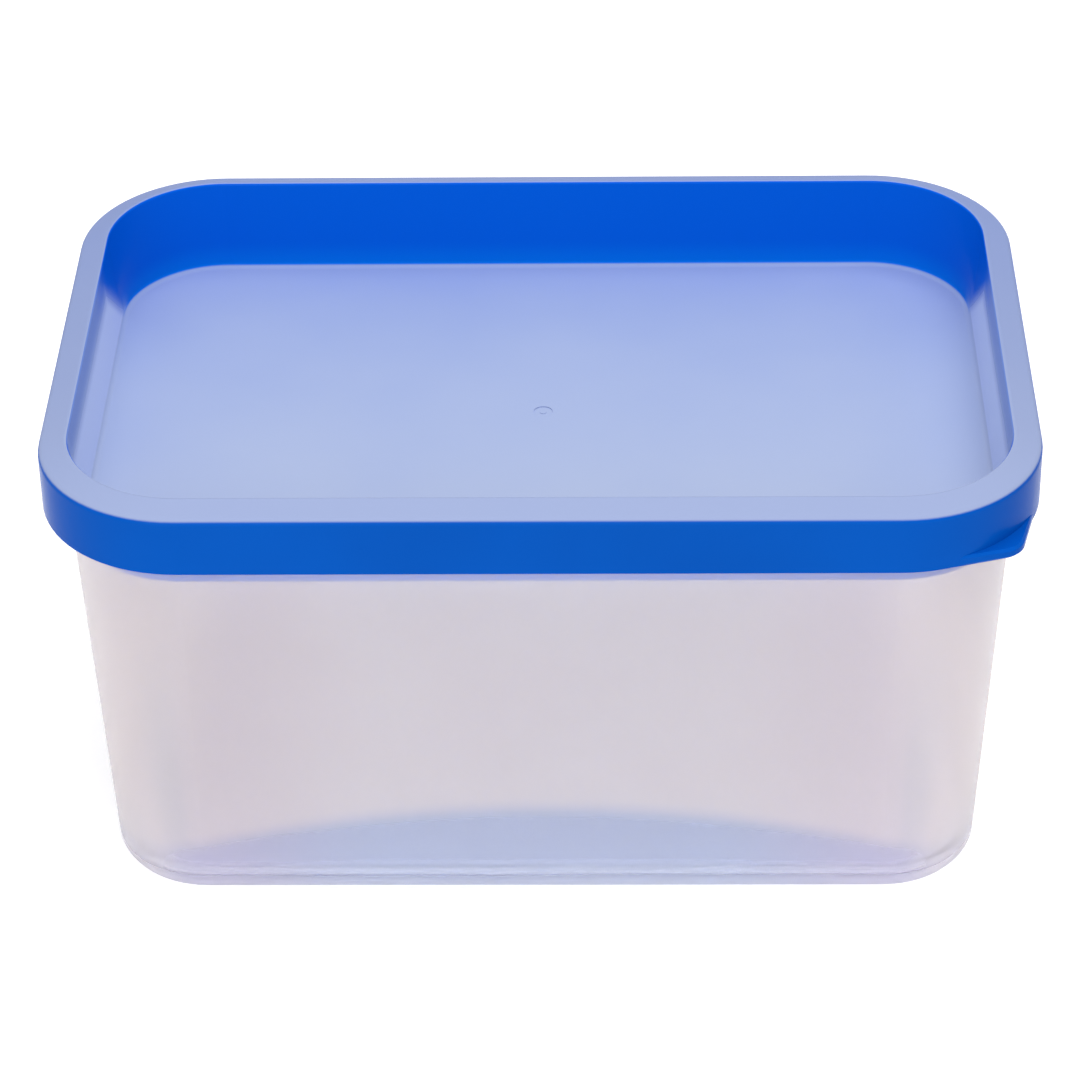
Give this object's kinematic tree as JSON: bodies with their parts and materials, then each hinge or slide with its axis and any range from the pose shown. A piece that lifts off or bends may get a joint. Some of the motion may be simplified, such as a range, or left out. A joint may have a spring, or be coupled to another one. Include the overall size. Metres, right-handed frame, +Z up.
{
  "type": "food storage container",
  "caption": "Rounded-rectangular box of milky translucent plastic with tapered walls, closed by a press-on blue lid with a deep recessed top and a corner lift tab.",
  "frame": {"origin": "centre of the foot ring, on the surface the box stands on", "axes": "+X along the long side towards the lift tab's end, -Y towards the long side with the lift tab, +Z up through the lid"},
  "size_m": [0.18, 0.122, 0.0924],
  "materials": {
    "milky_plastic": "natural translucent polypropylene, smooth",
    "blue_plastic": "opaque blue, glossy walls and finely matt flat faces"
  },
  "bodies": {
    "root": {"container": "milky_plastic", "lid": "blue_plastic"}
  },
  "joints": []
}
